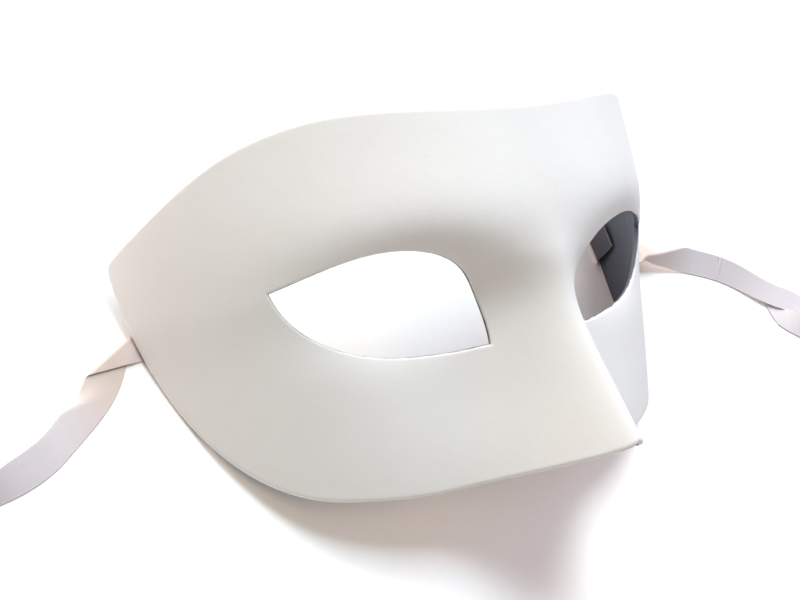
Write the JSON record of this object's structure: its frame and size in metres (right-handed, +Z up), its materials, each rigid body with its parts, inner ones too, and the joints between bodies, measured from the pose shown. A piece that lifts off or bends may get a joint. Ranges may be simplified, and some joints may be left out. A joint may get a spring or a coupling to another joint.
{
  "type": "half mask",
  "caption": "Rigid half mask for the upper face, with open almond eyes, a sharp nose ridge and a narrow satin ribbon at each side to tie it on.",
  "frame": {"origin": "on the ground, under the middle of the mask's own box, ribbons not counted", "axes": "+Z up, +X across the face to its own left side, +Y towards the forehead as it lies on its back"},
  "size_m": [0.4047, 0.128, 0.0548],
  "materials": {
    "shell": "moulded shell, matte white outside with a faint grain, dark slate grey with a low satin sheen inside",
    "ribbon": "narrow woven satin ribbon, pinkish white, fine selvedge along both edges"
  },
  "bodies": {
    "root": {"mask_shell": "shell", "ribbon_left": "ribbon", "ribbon_left_coil": "ribbon", "ribbon_right": "ribbon"}
  },
  "joints": []
}
